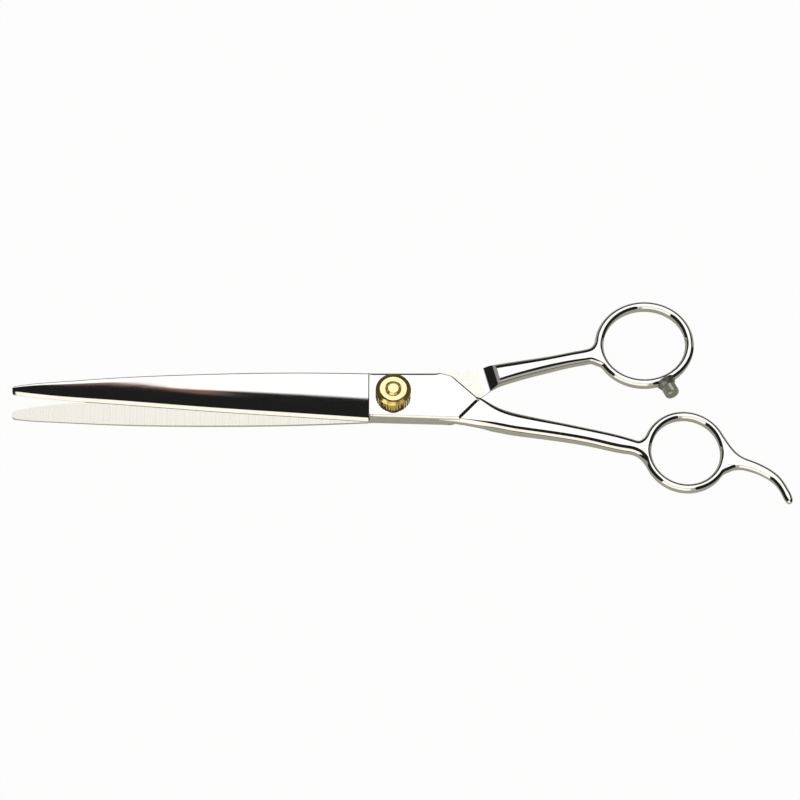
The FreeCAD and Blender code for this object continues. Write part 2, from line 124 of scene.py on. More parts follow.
# (share of the way from neck to ring, offset from the straight chord, width)
FRONT_SHANK = [(0.0, 0.0, 8.8), (0.055, -0.3, 8.0), (0.105, -0.62, 7.2), (0.2, -0.8, 6.5),
               (0.3, -0.62, 6.0), (0.49, -0.13, 5.3), (0.68, 0.17, 5.0), (0.86, 0.17, 4.8),
               (0.93, 0.0, 4.6), (0.951, -0.2, 5.2), (0.972, -0.25, 7.0), (1.0, -0.2, 10.4)]
REAR_SHANK = [(0.0, 0.0, 9.1), (0.08, -0.45, 7.95), (0.145, -0.83, 6.95), (0.25, -0.96, 6.15),
              (0.4, -0.82, 5.35), (0.6, -0.52, 4.6), (0.8, -0.28, 4.4), (0.89, -0.1, 4.5),
              (0.923, -0.15, 5.0), (0.946, -0.3, 6.3), (0.97, -0.55, 7.8), (1.0, -0.75, 9.6)]

# ---- rings ----
RING_HALF = 1.85            # half thickness
RING_ROUND = 1.2            # reach of the rounding at left, right and back
RING_FRONT = -0.1, 0.3      # share of facing the front between which it turns into a low bevel
RING_RIM = 0.9, 0.33        # reach and height of that bevel
RING_BEVEL = 0.55, 0.5      # reach and height of the steep bevel where the wall faces the front
BEVEL_FROM = -14.0, -6.0    # turn of the wall, positive to the left, between which that one starts
BEVEL_TO = 33.0, 43.0       # and ends
# centre, half axes of the hole, turn of the long one, width of the wall and where the shank enters
FINGER_RING = {"centre": (82.45, -15.95), "long": 10.05, "short": 9.6, "tilt": -66.0, "wall": 2.4,
               "entry": 178.0}
THUMB_RING = {"centre": (71.75, -17.65), "long": 11.7, "short": 10.95, "tilt": -11.5, "wall": 2.538,
              "entry": 167.5}
BAR_DEPTH = 0.4             # how deep shank and rest reach into the wall, as a share of it

# ---- finger rest ----
REST_EXIT = -3.0            # where it leaves the ring, from the ring's centre, degrees
REST_REACH = 23.7           # straight length from there to the end
REST_FALL = -40.0           # and its direction
REST_END_HALF = 1.1         # half thickness at the end
# (share of the way, offset from the straight chord, width, direction of the width)
REST_SHAPE = [(0.0, 0.0, 12.0, 90), (0.07, 0.1, 9.0, 88), (0.154, 0.35, 5.6, 82), (0.23, 0.95, 3.85, 76),
              (0.35, 2.1, 3.15, 68), (0.52, 3.15, 2.9, 60), (0.7, 3.25, 2.65, 43), (0.855, 2.0, 2.4, 25),
              (0.97, 0.5, 1.95, 18), (1.0, 0.0, 1.2, 15)]

# ---- stop bumper ----
BUMPER_DIRECTION = 63.5     # from the ring's centre, degrees
SEAT_RADIUS = 2.65
SEAT_FLARE = 0.25           # how much wider the seat is at its root
SEAT_HEIGHT = 0.9
SEAT_ROOT = 1.0             # how deep the seat goes into the ring
SEAT_SOFT = 0.15            # bevel at its outer edge
BUMPER_RADIUS = 2.1
BUMPER_LENGTH = 3.4
BUMPER_ROUND = 1.2
BUMPER_SINK = 0.3           # how deep the bumper goes into the seat
BUMPER_PLAY = 0.05          # how much narrower it is there
BUMPER_LIP = 0.1            # height in which it widens again

# ---- pivot and nut ----
JOURNAL_RADIUS = 2.3
THREAD_RADIUS = 2.0
HEAD_RADIUS = 4.2
HEAD_THICKNESS = 1.3
HEAD_RECESS = 0.1           # the head lies this deep in the rear block
HEAD_BEVEL = 0.15
SLOT_WIDTH = 0.9
SLOT_DEPTH = 0.6
BOLT_END = 0.3              # how far the bolt stands out of the nut
BOLT_END_BEVEL = 0.5
BOLT_END_ROUND = 0.24
BOLT_END_INSET = 0.1        # from the bevel to the middle of that rounding
NUT_RADIUS = 5.05
NUT_SKIRT_GAP = 0.25        # between nut and block
KNURL_TOP = 4.6             # heights above the block
NUT_HEIGHT = 5.5
NUT_FACE_RADIUS = 3.5       # flat face, up to its rounding
NUT_FACE_ROUND = 1.1
SHOULDER_SLOPE = 33.5       # of the cone between rounding and knurl, degrees
SHOULDER_LAND = 0.01        # least height between cone and knurl
NUT_SINK = 0.34             # bevel of the bore
NUT_BORE = 2.06
NUT_RECESS_RADIUS = 4.05
NUT_RECESS_TOP = 1.6
KNURL_COUNT = 36
KNURL_DEPTH = 0.15
KNURL_SHAPE = 1.2           # exponent of a tooth's flank

# ---- mesh resolution ----
OUTLINE_STEP = 0.22         # spacing of points along an outline
ROUND_STEPS = 14            # rows across a rounded edge
BLADE_STEPS = 220           # sections of a blade
BLADE_CROWDING = 1.1        # exponent that crowds them towards the step
CROWN_STEPS = 36            # points across a blade's outer face
CORNER_STEPS = 12           # steps of an arc at a blade's tip and the bumper's end
BLOCK_CORNER_STEPS = 8
SHANK_POINTS = 400          # points along one side of a shank,
REST_POINTS = 200           # one side of the rest,
RING_POINTS = 160           # a part of a ring's outside
HOLE_POINTS = 300           # and its hole
RUNOUT_STEPS = 64
LATHE_SEGMENTS = 96
TOOTH_POINTS = 10           # points round one tooth of the knurl
KNURL_ROWS = 6
NUT_ROUND_STEPS = 10
BOLT_ROUND_STEPS = 4
BLOCK_BLUR = 24             # rounds of evening out: rims of a block
CORNER_BLUR = 14            # corners of a handle's outline
HANDLE_BLUR = 60            # and its rims
CORNER_BLUR_FULL = 1.6      # its weight at a corner, cut off at 1,
CORNER_BLUR_FADE = 1.2      # and the distance over which it falls by 1
TIP_BLUR_FULL = 1.5         # weight at the end of the rest, which falls by 1 each millimetre
SHARP_ANGLE = math.radians(24)
NUT_SHARP_ANGLE = math.radians(20)
SAME_PLANE = 0.999          # least cosine between the normals of a face and the ride face
FACING_UP = 0.98            # and between those of the nut's top and the vertical


# ======== numbers and curves ========
def polar(length, degrees):
    """Point at a distance and an angle from the origin."""
    angle = math.radians(degrees)
    return np.array([length * math.cos(angle), length * math.sin(angle)])


def spline(at, knots, values):
    """Natural cubic spline through (knot, value) pairs, read at the given places."""
    knots, values, at = np.array(knots, float), np.array(values, float), np.array(at, float)
    gaps = np.diff(knots)
    count = len(knots)
    matrix = np.eye(count)
    right = np.zeros(count)
    for i in range(1, count - 1):
        matrix[i, i - 1:i + 2] = gaps[i - 1], 2 * (gaps[i - 1] + gaps[i]), gaps[i]
        right[i] = 6 * ((values[i + 1] - values[i]) / gaps[i] - (values[i] - values[i - 1]) / gaps[i - 1])
    bend = np.linalg.solve(matrix, right)
    i = np.clip(np.searchsorted(knots, at) - 1, 0, count - 2)
    a, b, gap = knots[i + 1] - at, at - knots[i], gaps[i]
    return (bend[i] * a ** 3 + bend[i + 1] * b ** 3) / (6 * gap) + (
        (values[i] / gap - bend[i] * gap / 6) * a + (values[i + 1] / gap - bend[i + 1] * gap / 6) * b)


def unit(rows):
    """Rows of vectors, each at length 1."""
    return rows / np.linalg.norm(rows, axis=1)[:, None]


def inward(loop):
    """Directions into an anticlockwise outline, and out of a clockwise one."""
    tangent = unit(np.roll(loop[:, :2], -1, axis=0) - np.roll(loop[:, :2], 1, axis=0))
    return np.column_stack([-tangent[:, 1], tangent[:, 0]])


def resample(points, step):
    """Closed outline at even spacing."""
    loop = np.vstack([points, points[:1]])
    along = np.concatenate([[0], np.cumsum(np.linalg.norm(np.diff(loop[:, :2], axis=0), axis=1))])
    keep = np.concatenate([[True], np.diff(along) > 1e-9])
    loop, along = loop[keep], along[keep]
    at = np.linspace(0, along[-1], int(along[-1] / step) + 1)[:-1]
    return np.column_stack([np.interp(at, along, loop[:, c]) for c in range(loop.shape[1])])


def blur(values, rounds, weight=1.0):
    """Evens out a closed row of values, by weight where it is given for each."""
    values = values.copy()
    for _ in range(rounds):
        middle = (np.roll(values, 1, axis=0) + np.roll(values, -1, axis=0)) / 2
        values += np.reshape(weight, (-1,) + (1,) * (values.ndim - 1)) * 0.5 * (middle - values)
    return values


# ======== meshes ========
def add_object(name, data):
    """New object in the scene."""
    item = bpy.data.objects.new(name, data)
    bpy.context.scene.collection.objects.link(item)
    return item


def make_object(name, vertices, faces, place):
    """Object from vertices in a half's layout, with its faces turned outward."""
    mesh = bpy.data.meshes.new(name)
    mesh.from_pydata([tuple(v) for v in vertices], [], [tuple(int(i) for i in f) for f in faces])
    mesh.transform(place)
    mesh.validate()
    shell = bmesh.new()
    shell.from_mesh(mesh)
    bmesh.ops.recalc_face_normals(shell, faces=shell.faces)
    shell.to_mesh(mesh)
    shell.free()
    return add_object(name, mesh)


def cut(piece, tool):
    """Cuts a tool out of a piece and takes the tool away."""
    modifier = piece.modifiers.new("cut", "BOOLEAN")
    modifier.operation = "DIFFERENCE"
    modifier.solver = "EXACT"
    modifier.object = tool
    depsgraph = bpy.context.evaluated_depsgraph_get()
    mesh = bpy.data.meshes.new_from_object(piece.evaluated_get(depsgraph))
    piece.modifiers.clear()
    old = piece.data
    piece.data = mesh
    bpy.data.meshes.remove(old)
    bpy.data.objects.remove(tool)
    return piece


def shade(piece, angle=SHARP_ANGLE):
    """Smooth shading that stays crisp at edges sharper than the angle."""
    mesh = piece.data
    mesh.name = piece.name
    mesh.shade_smooth()
    mesh.set_sharp_from_angle(angle=angle)
    modifier = piece.modifiers.new("normals", "WEIGHTED_NORMAL")
    modifier.keep_sharp = True
    modifier.weight = 100
    depsgraph = bpy.context.evaluated_depsgraph_get()
    piece.data = bpy.data.meshes.new_from_object(piece.evaluated_get(depsgraph))
    piece.modifiers.clear()
    bpy.data.meshes.remove(mesh)
    return piece


def grid_faces(rows, columns, close_rows=False, close_columns=False):
    """Quads between neighbouring rows of a grid of points."""
    faces = []
    for r in range(rows if close_rows else rows - 1):
        for c in range(columns if close_columns else columns - 1):
            r2, c2 = (r + 1) % rows, (c + 1) % columns
            faces.append((r * columns + c, r * columns + c2, r2 * columns + c2, r2 * columns + c))
    return faces


def box_tool(low, high, place):
    """Cutting box between two corner points."""
    corners = [(x, y, z) for x in (low[0], high[0]) for y in (low[1], high[1]) for z in (low[2], high[2])]
    faces = [(0, 1, 3, 2), (4, 6, 7, 5), (0, 4, 5, 1), (2, 3, 7, 6), (0, 2, 6, 4), (1, 5, 7, 3)]
    return make_object("tool", corners, faces, place)


def prism_tool(outline, place):
    """Cutting tool between two equal rows of points, given one after the other."""
    count = len(outline) // 2
    walls = [(i, (i + 1) % count, (i + 1) % count + count, i + count) for i in range(count)]
    walls += [tuple(range(count))[::-1], tuple(range(count, 2 * count))]
    return make_object("tool", outline, walls, place)


def lathe(name, profile, place):
    """Turned piece: profile is (radius, height) pairs, starting and ending on the axis."""
    segments = LATHE_SEGMENTS
    turn = np.arange(segments) * 2 * math.pi / segments
    vertices, rows = [], []
    for radius, height in profile:
        if radius < 1e-9:
            rows.append([len(vertices)] * segments)
            vertices.append((0, 0, height))
        else:
            rows.append(list(range(len(vertices), len(vertices) + segments)))
            vertices += [(radius * math.cos(t), radius * math.sin(t), height) for t in turn]
    faces = []
    for low, high in zip(rows, rows[1:]):
        for c in range(segments):
            corners = [low[c], low[(c + 1) % segments], high[(c + 1) % segments], high[c]]
            faces.append(list(dict.fromkeys(corners)))
    return make_object(name, vertices, faces, place)


def arc(centre, radius, start, end, steps):
    """Points of an arc as (radius, height) pairs, angles in degrees."""
    return [(centre[0] + radius * math.cos(math.radians(a)), centre[1] + radius * math.sin(math.radians(a)))
            for a in np.linspace(start, end, steps + 1)]


def bevel_profile():
    """Slanting bevel with soft corners, as (inward, upward) shares of its size."""
    def bend(start, middle, end):
        return [np.array(start) * (1 - t) ** 2 + np.array(middle) * 2 * t * (1 - t) + np.array(end) * t * t
                for t in np.linspace(0, 1, ROUND_STEPS // 2 + 1)]
    soft = 0.1
    low = bend((0, 0), (0, soft), (soft, 2 * soft))
    high = bend((1 - 2 * soft, 1 - soft), (1 - soft, 1), (1, 1))
    return np.array((low + high)[:ROUND_STEPS + 1])


def plate(name, outline, holes, place, bottom=None):
    """Flat piece with rounded or bevelled rims.

    Each outline is a closed row of (x, y, half thickness, inward reach and height of the upper rim, its share
    of bevel, reach and height of the lower rim), the outer one anticlockwise and holes clockwise. Upper is
    up in the frame. With a bottom height there is no lower rim, and the piece ends there.
    """
    vertices, faces, top_loops, low_loops = [], [], [], []
    quarter = np.linspace(0, math.pi / 2, ROUND_STEPS + 1)
    rims = np.column_stack([1 - np.cos(quarter), np.sin(quarter)]), bevel_profile()
    for loop in [outline] + holes:
        count = len(loop)
        half, into = loop[:, 2:3], inward(loop)

        def rim(reach, rise, slant):
            rows = []
            for (in_round, up_round), (in_bevel, up_bevel) in zip(*rims):
                flat = loop[:, :2] + into * reach * (in_round + slant * (in_bevel - in_round))
                rows.append(np.hstack([flat, half - rise + rise * (up_round + slant * (up_bevel - up_round))]))
            return rows

        upper = rim(loop[:, 3:4], loop[:, 4:5], loop[:, 5:6])
        if bottom is None:
            lower = rim(loop[:, 6:7], loop[:, 7:8], 0)
            if (place.to_3x3() @ Vector((0, 0, 1))).z < 0:
                upper, lower = lower, upper
            rows = [row * np.array([1, 1, -1]) for row in reversed(lower)] + upper
        else:
            rows = [np.hstack([loop[:, :2], np.full((count, 1), bottom)])] + upper
        start = len(vertices)
        vertices += [tuple(p) for row in rows for p in row]
        for f in grid_faces(len(rows), count, close_columns=True):
            faces.append([start + i for i in f])
        low_loops.append(list(range(start, start + count)))
        top_loops.append(list(range(start + (len(rows) - 1) * count, start + len(rows) * count)))
    for loops, flip in ((top_loops, False), (low_loops, True)):
        flat = [i for loop in loops for i in loop]
        rings = [[Vector(vertices[i][:2] + (0,)) for i in loop] for loop in loops]
        for t in geometry.tessellate_polygon(rings):
            triangle = [flat[i] for i in t]
            a, b, c = (np.array(vertices[i][:2]) for i in triangle)
            upward = (b[0] - a[0]) * (c[1] - a[1]) - (b[1] - a[1]) * (c[0] - a[0]) > 0
            faces.append(triangle if upward != flip else triangle[::-1])
    return make_object(name, vertices, faces, place)


# ======== the two halves ========
def blade(name, outline, spine_round, nose, place):
    """Blade: flat ride face, round spine, crowned outer face and edge bevel, with a rounded tip."""
    share, spine, edge, top = (np.array(column) for column in zip(*outline))
    at = np.linspace(0, 1, BLADE_STEPS + 1) ** BLADE_CROWDING
    reach = BLADE_LENGTH - STEP_X
    vertices = []
    for s, sp, ed, tp in zip(at, spline(at, share, spine), spline(at, share, edge), spline(at, share, top)):
        turn = min(spine_round * tp, NARROW_ROUND * (sp - ed))
        bevel = min(BEVEL_WIDTH, NARROW_ROUND * (sp - ed))
        run, drop = sp - turn - (ed + bevel), tp - EDGE_SHOULDER
        crown = (run * run + drop * drop) / (2 * drop)
        full = math.asin(run / crown)
        section = [(ed, RIDE_GAP), (sp, RIDE_GAP)]
        section += arc((sp - turn, tp - turn), turn, 0, 90, ROUND_STEPS)
        section += [(sp - turn - crown * math.sin(a), tp - crown * (1 - math.cos(a)))
                    for a in np.linspace(0, full, CROWN_STEPS + 1)[1:]]
        section.append((ed, RIDE_GAP + EDGE_LAND))
        vertices += [(-STEP_X - reach * s, y, z) for y, z in section]
    columns = len(vertices) // len(at)
    faces = grid_faces(len(at), columns, close_columns=True)
    faces.append(range(columns))
    faces.append(range(len(vertices) - 1, len(vertices) - 1 - columns, -1))
    piece = make_object(name, vertices, [tuple(f)[::-1] for f in faces], place)
    sp, ed, tp = outline[-1][1:]
    # round the tip's corners with a tool that stands 1 mm clear of the blade
    nose = min(nose, NOSE_SHARE * (sp - ed))
    around = arc((nose - BLADE_LENGTH, sp - nose), nose, 90, 180, CORNER_STEPS)
    around += arc((nose - BLADE_LENGTH, ed + nose), nose, 180, 270, CORNER_STEPS)
    around += [(nose - BLADE_LENGTH, ed - 1), (-BLADE_LENGTH - 1, ed - 1), (-BLADE_LENGTH - 1, sp + 1),
               (nose - BLADE_LENGTH, sp + 1)]
    return cut(piece, prism_tool([(x, y, z) for z in (-1, tp + 1) for x, y in around], place))


def block(name, size, place):
    """Pivot block: slanting end and crease meet at the crossing point."""
    spine, edge, crossing = size["spine"], size["edge"], size["crossing"]
    step_corner = (-STEP_X, size["step_spine"])
    corner = arc((BLOCK_CORNER - STEP_X, BLOCK_CORNER - edge), BLOCK_CORNER, 180, 270, BLOCK_CORNER_STEPS)
    shoulder_x, run, drop = size["shoulder"]
    shoulder = (shoulder_x, spine - drop)
    edge_round, spine_round, chamfer = ((rim, rim) for rim in (BLOCK_EDGE, BLOCK_SPINE_ROUND, BLOCK_CHAMFER))
    # (corner points, reach and height of the rim, share of bevel) going round from the step
    sides = [(corner, edge_round, 0), ([corner[-1], size["crease"]], chamfer, 1),
             ([size["crease"], crossing], CREASE_EDGE, 1), ([crossing, shoulder], END_EDGE, 1),
             ([shoulder, (shoulder_x - run, spine)], edge_round, 0),
             ([(shoulder_x - run, spine), step_corner], spine_round, 0),
             ([step_corner, corner[0]], STEP_EDGE, 1)]
    rows = []
    for points, rim, slant in sides:
        points = np.array(points)
        along = np.concatenate([[0], np.cumsum(np.linalg.norm(np.diff(points, axis=0), axis=1))])
        at = np.linspace(0, along[-1], int(along[-1] / OUTLINE_STEP) + 2)[1:]
        rows.append(np.column_stack([np.interp(at, along, points[:, 0]), np.interp(at, along, points[:, 1]),
                                     np.full((len(at), 4), (BLOCK_THICKNESS, *rim, slant))]))
    loop = np.vstack(rows)
    loop[:, 3:] = blur(loop[:, 3:], BLOCK_BLUR)
    away = np.linalg.norm(loop[:, :2] - np.array(crossing), axis=1)[:, None]
    loop[:, 3:5] *= np.minimum(1, (MITRE * away + MITRE_LEFT) / loop[:, 3:4])
    return plate(name, loop, [], place, bottom=RIDE_GAP)


def ellipse(ring, grow, turns):
    """Points of a ring's oval at parameter values, in the half's layout."""
    tilt = math.radians(ring["tilt"])
    x = (ring["long"] + grow) * np.cos(turns)
    y = (ring["short"] + grow) * np.sin(turns)
    return np.column_stack([ring["centre"][0] + x * math.cos(tilt) - y * math.sin(tilt),
                            ring["centre"][1] + x * math.sin(tilt) + y * math.cos(tilt)])


def ring_turn(ring, grow, point):
    """Parameter value of a point on a ring's oval, and how far out it lies (1 is on the oval)."""
    tilt = math.radians(ring["tilt"])
    dx, dy = point[0] - ring["centre"][0], point[1] - ring["centre"][1]
    x = (dx * math.cos(tilt) + dy * math.sin(tilt)) / (ring["long"] + grow)
    y = (-dx * math.sin(tilt) + dy * math.cos(tilt)) / (ring["short"] + grow)
    return math.atan2(y, x), math.hypot(x, y)


def ring_point(ring, degrees, depth):
    """Point at a depth outside a ring's hole, in a direction from its centre."""
    turn = math.radians(degrees - ring["tilt"])
    reach = 1 / math.hypot(math.cos(turn) / ring["long"], math.sin(turn) / ring["short"])
    return np.array(ring["centre"]) + polar(reach + depth, degrees)


def beside_chord(start, end, share, offset):
    """Point at a share of a straight chord and an offset to its left."""
    chord = end - start
    left = np.array([-chord[1], chord[0]]) / np.linalg.norm(chord)
    return start + chord * share + left * offset


def side_curves(stations, steps):
    """Left and right side of a bar through (point, width, direction of the width) stations."""
    knots = np.concatenate([[0], np.cumsum([np.linalg.norm(b[0] - a[0])
                                            for a, b in zip(stations, stations[1:])])])
    at = np.linspace(0, knots[-1], steps)
    sides = []
    for sign in (1, -1):
        ends = np.array([point + polar(sign * width / 2, direction) for point, width, direction in stations])
        sides.append(np.column_stack([spline(at, knots, ends[:, c]) for c in range(2)]))
    return sides, at / knots[-1]


def arc_between(ring, start, end):
    """Ring's outer oval from one point to another, anticlockwise."""
    a = ring_turn(ring, ring["wall"], start)[0]
    b = ring_turn(ring, ring["wall"], end)[0]
    if b <= a:
        b += 2 * math.pi
    return ellipse(ring, ring["wall"], np.linspace(a, b, RING_POINTS))


def outside(ring, points):
    """Which points lie outside a ring."""
    return np.array([ring_turn(ring, ring["wall"], p)[1] > 1 for p in points])


def ease(value, start, end):
    """Smooth step from 0 at start to 1 at end."""
    share = np.clip((value - start) / (end - start), 0, 1)
    return share * share * (3 - 2 * share)


def ring_rims(loop, place):
    """Rims of ring and rest: rounded, and bevelled where the wall faces the front.

    The last column is the share that a point has in the ring.
    """
    outward = unit(-inward(loop) @ np.array(place.to_3x3())[:2, :2].T)
    facing = np.degrees(np.arctan2(-outward[:, 0], -outward[:, 1]))
    bevel = ease(facing, *BEVEL_FROM) * (1 - ease(facing, *BEVEL_TO))
    slant = ease(-outward[:, 1], *RING_FRONT)
    reach, rise = (low + (steep - low) * bevel for low, steep in zip(RING_RIM, RING_BEVEL))
    wanted = np.column_stack([np.minimum(RING_ROUND + (reach - RING_ROUND) * slant, loop[:, 3]),
                              loop[:, 2] + (rise - loop[:, 2]) * slant, slant])
    rims = loop[:, :8].copy()
    rims[:, 3:6] += (wanted - rims[:, 3:6]) * loop[:, 8:]
    return rims


def handle(name, neck_y, root, shank, ring, rims, place, rest=False):
    """Shank, ring and finger rest as one plate with flowing rounded edges."""
    neck = np.array([NECK_X, neck_y])
    end = ring_point(ring, ring["entry"], ring["wall"] * BAR_DEPTH)
    stations = [(np.array([x, middle]), width, 90) for x, middle, width in root]
    stations += [(beside_chord(neck, end, share, offset), width, 90) for share, offset, width in shank]
    (upper, lower), _ = side_curves(stations, SHANK_POINTS)
    upper, lower = upper[outside(ring, upper)], lower[outside(ring, lower)]
    corners = [lower[-1], upper[-1]]

    def tag(points, half, reach):
        """Outline rows of ring or rest, with the ring's share of 1 as a last column."""
        count = len(points)
        half, reach = np.broadcast_to(half, count), np.broadcast_to(reach, count)
        return np.column_stack([points, half, reach, half, np.zeros(count), reach, half, np.ones(count)])

    slope = (SHANK_HALF - RING_HALF) / (end[0] - NECK_X)
    places, widths = [station[0][0] for station in stations], [station[1] for station in stations]

    def shank_side(side, rims):
        """Rims along one side of the shank, from (distance from pivot, reach, rise, share of bevel) rows."""
        x = side[:, 0]
        half = SHANK_HALF - slope * np.maximum(x - NECK_X, 0)
        reach, rise, slant = (np.interp(x, [r[0] for r in rims], [r[c] for r in rims]) for c in (1, 2, 3))
        most = ROUND_SHARE * np.interp(x, places, widths)
        return np.column_stack([side, half, np.minimum(reach, most), np.minimum(rise, half), slant,
                                np.minimum(LOW_ROUND, most), half, np.zeros(len(x))])

    low_part, top_part = shank_side(lower, rims[0]), shank_side(upper, rims[1])
    if rest:
        start = ring_point(ring, REST_EXIT, ring["wall"] * BAR_DEPTH)
        tip = start + polar(REST_REACH, REST_FALL)
        bars = [(beside_chord(start, tip, share, offset), width, direction)
                for share, offset, width, direction in REST_SHAPE]
        (over, under), share = side_curves(bars, REST_POINTS)
        half = RING_HALF + (REST_END_HALF - RING_HALF) * share
        reach = np.minimum(RING_ROUND, ROUND_SHARE * np.linalg.norm(over - under, axis=1))
        over, under = tag(over, half, reach), tag(under, half, reach)
        over, under = over[outside(ring, over)], under[outside(ring, under)]
        corners += [over[0], under[0]]
        ring_parts = [tag(arc_between(ring, lower[-1], under[0]), RING_HALF, RING_ROUND), under, over[::-1],
                      tag(arc_between(ring, over[0], upper[-1]), RING_HALF, RING_ROUND)]
    else:
        ring_parts = [tag(arc_between(ring, lower[-1], upper[-1]), RING_HALF, RING_ROUND)]
    loop = resample(np.vstack([low_part] + ring_parts + [top_part[::-1]]), OUTLINE_STEP)
    near = np.zeros(len(loop))
    for corner in corners:
        distance = np.linalg.norm(loop[:, :2] - corner[:2], axis=1)
        near = np.maximum(near, np.clip(CORNER_BLUR_FULL - distance / CORNER_BLUR_FADE, 0, 1))
    if rest:
        distance = np.linalg.norm(loop[:, :2] - tip, axis=1)
        near = np.maximum(near, np.clip(TIP_BLUR_FULL - distance, 0, 1))
    loop[:, :2] = blur(loop[:, :2], CORNER_BLUR, near)
    loop[:, 2:] = blur(loop[:, 2:], HANDLE_BLUR)
    turns = np.linspace(0, 2 * math.pi, HOLE_POINTS, endpoint=False)[::-1]
    hole = tag(ellipse(ring, 0, turns), RING_HALF, RING_ROUND)
    piece = plate(name, ring_rims(loop, place), [ring_rims(hole, place)], place)
    return cut_ride_face(piece, math.atan2(end[1] - neck_y, end[0] - NECK_X), place)


def cut_ride_face(piece, slope, place):
    """Takes the shank's root down to the ride face, which runs out in a ground hollow."""
    depth = RUNOUT_RADIUS + 1
    profile = [(RUNOUT_X * -2, HANDLE_GAP), (RUNOUT_X * -2, -depth), (RUNOUT_RADIUS, -depth)]
    profile += [(x, z - RUNOUT_RADIUS + HANDLE_GAP)
                for x, z in arc((0, 0), RUNOUT_RADIUS, 0, 90, RUNOUT_STEPS)]
    spot = Matrix.Translation((RUNOUT_X, 0, 0)) @ Matrix.Rotation(slope, 4, "Z")
    return cut(piece, prism_tool([(x, y, z) for y in (-CUTTER_HALF, CUTTER_HALF) for x, z in profile],
                                 place @ spot))


# ======== pivot pieces ========
def thumb_nut():
    """Knurled nut with a round-shouldered cap, hollow below."""
    low = BLOCK_THICKNESS + NUT_SKIRT_GAP
    knurl_top = BLOCK_THICKNESS + KNURL_TOP
    face = BLOCK_THICKNESS + NUT_HEIGHT
    recess = BLOCK_THICKNESS + NUT_RECESS_TOP
    shoulder = NUT_RADIUS - KNURL_DEPTH / 2
    face_round = [(NUT_FACE_RADIUS + r, z) for r, z in
                  arc((0, face - NUT_FACE_ROUND), NUT_FACE_ROUND, 90 - SHOULDER_SLOPE, 90, NUT_ROUND_STEPS)]
    fall = (shoulder - face_round[0][0]) * math.tan(math.radians(SHOULDER_SLOPE))
    cap = [(shoulder, max(face_round[0][1] - fall, knurl_top + SHOULDER_LAND))]
    # (radius, height, share of the tooth depth)
    profile = [(NUT_BORE, recess, 0), (NUT_RECESS_RADIUS, recess, 0), (NUT_RECESS_RADIUS, low, 0),
               (NUT_RADIUS - KNURL_DEPTH, low, 0)]
    profile += [(NUT_RADIUS, z, 1)
                for z in np.linspace(low + KNURL_DEPTH, knurl_top - KNURL_DEPTH / 2, KNURL_ROWS)]
    profile += [(shoulder, knurl_top, 0)]
    profile += [(r, z, 0) for r, z in cap + face_round]
    profile += [(NUT_BORE + NUT_SINK, face, 0), (NUT_BORE, face - NUT_SINK, 0)]
    segments = KNURL_COUNT * TOOTH_POINTS
    vertices = []
    for radius, height, tooth in profile:
        for c in range(segments):
            phase = (c % TOOTH_POINTS) / TOOTH_POINTS
            depth = abs(2 * phase - 1)
            r = radius - tooth * KNURL_DEPTH * depth ** KNURL_SHAPE
            angle = 2 * math.pi * c / segments
            vertices.append((r * math.cos(angle), r * math.sin(angle), height))
    faces = grid_faces(len(profile), segments, close_rows=True, close_columns=True)
    piece = shade(make_object("nut_body", vertices, faces, FRONT), NUT_SHARP_ANGLE)
    piece.visible_glossy = False    # the photo shows no image of the nut in the block
    return piece


def pivot_bolt():
    """Bolt through the halves, with a slotted head below and a bevelled end above the nut."""
    low = HEAD_RECESS - BLOCK_THICKNESS
    end = BLOCK_THICKNESS + NUT_HEIGHT + BOLT_END
    profile = [(0, low), (HEAD_RADIUS - HEAD_BEVEL, low), (HEAD_RADIUS, low + HEAD_BEVEL),
               (HEAD_RADIUS, low + HEAD_THICKNESS), (JOURNAL_RADIUS, low + HEAD_THICKNESS),
               (JOURNAL_RADIUS, BLOCK_THICKNESS), (THREAD_RADIUS, BLOCK_THICKNESS),
               (THREAD_RADIUS, end - BOLT_END_BEVEL)]
    profile += arc((THREAD_RADIUS - BOLT_END_BEVEL - BOLT_END_INSET, end - BOLT_END_ROUND), BOLT_END_ROUND,
                   45, 90, BOLT_ROUND_STEPS)
    profile += [(0, end)]
    piece = lathe("bolt_body", profile, FRONT)
    slot = box_tool((-2 * HEAD_RADIUS, -SLOT_WIDTH / 2, low - 1),
                    (2 * HEAD_RADIUS, SLOT_WIDTH / 2, low + SLOT_DEPTH), FRONT)
    return shade(cut(piece, slot))


def bumper_place():
    """Where the bumper stands: its own axis points out of the thumb ring."""
    point = ring_point(THUMB_RING, BUMPER_DIRECTION, THUMB_RING["wall"])
    turn = Matrix.Rotation(math.radians(BUMPER_DIRECTION), 4, "Z") @ Matrix.Rotation(math.pi / 2, 4, "Y")
    return REAR @ Matrix.Translation((point[0], point[1], 0)) @ turn


def stop_bumper():
    """Rubber nub with a round end."""
    top = SEAT_HEIGHT + BUMPER_LENGTH
    profile = [(0, SEAT_HEIGHT - BUMPER_SINK), (BUMPER_RADIUS - BUMPER_PLAY, SEAT_HEIGHT - BUMPER_SINK),
               (BUMPER_RADIUS - BUMPER_PLAY, SEAT_HEIGHT), (BUMPER_RADIUS, SEAT_HEIGHT + BUMPER_LIP)]
    profile += arc((BUMPER_RADIUS - BUMPER_ROUND, top - BUMPER_ROUND), BUMPER_ROUND, 0, 90, CORNER_STEPS)
    profile += [(0, top)]
    return shade(lathe("bumper_nub", profile, bumper_place()))


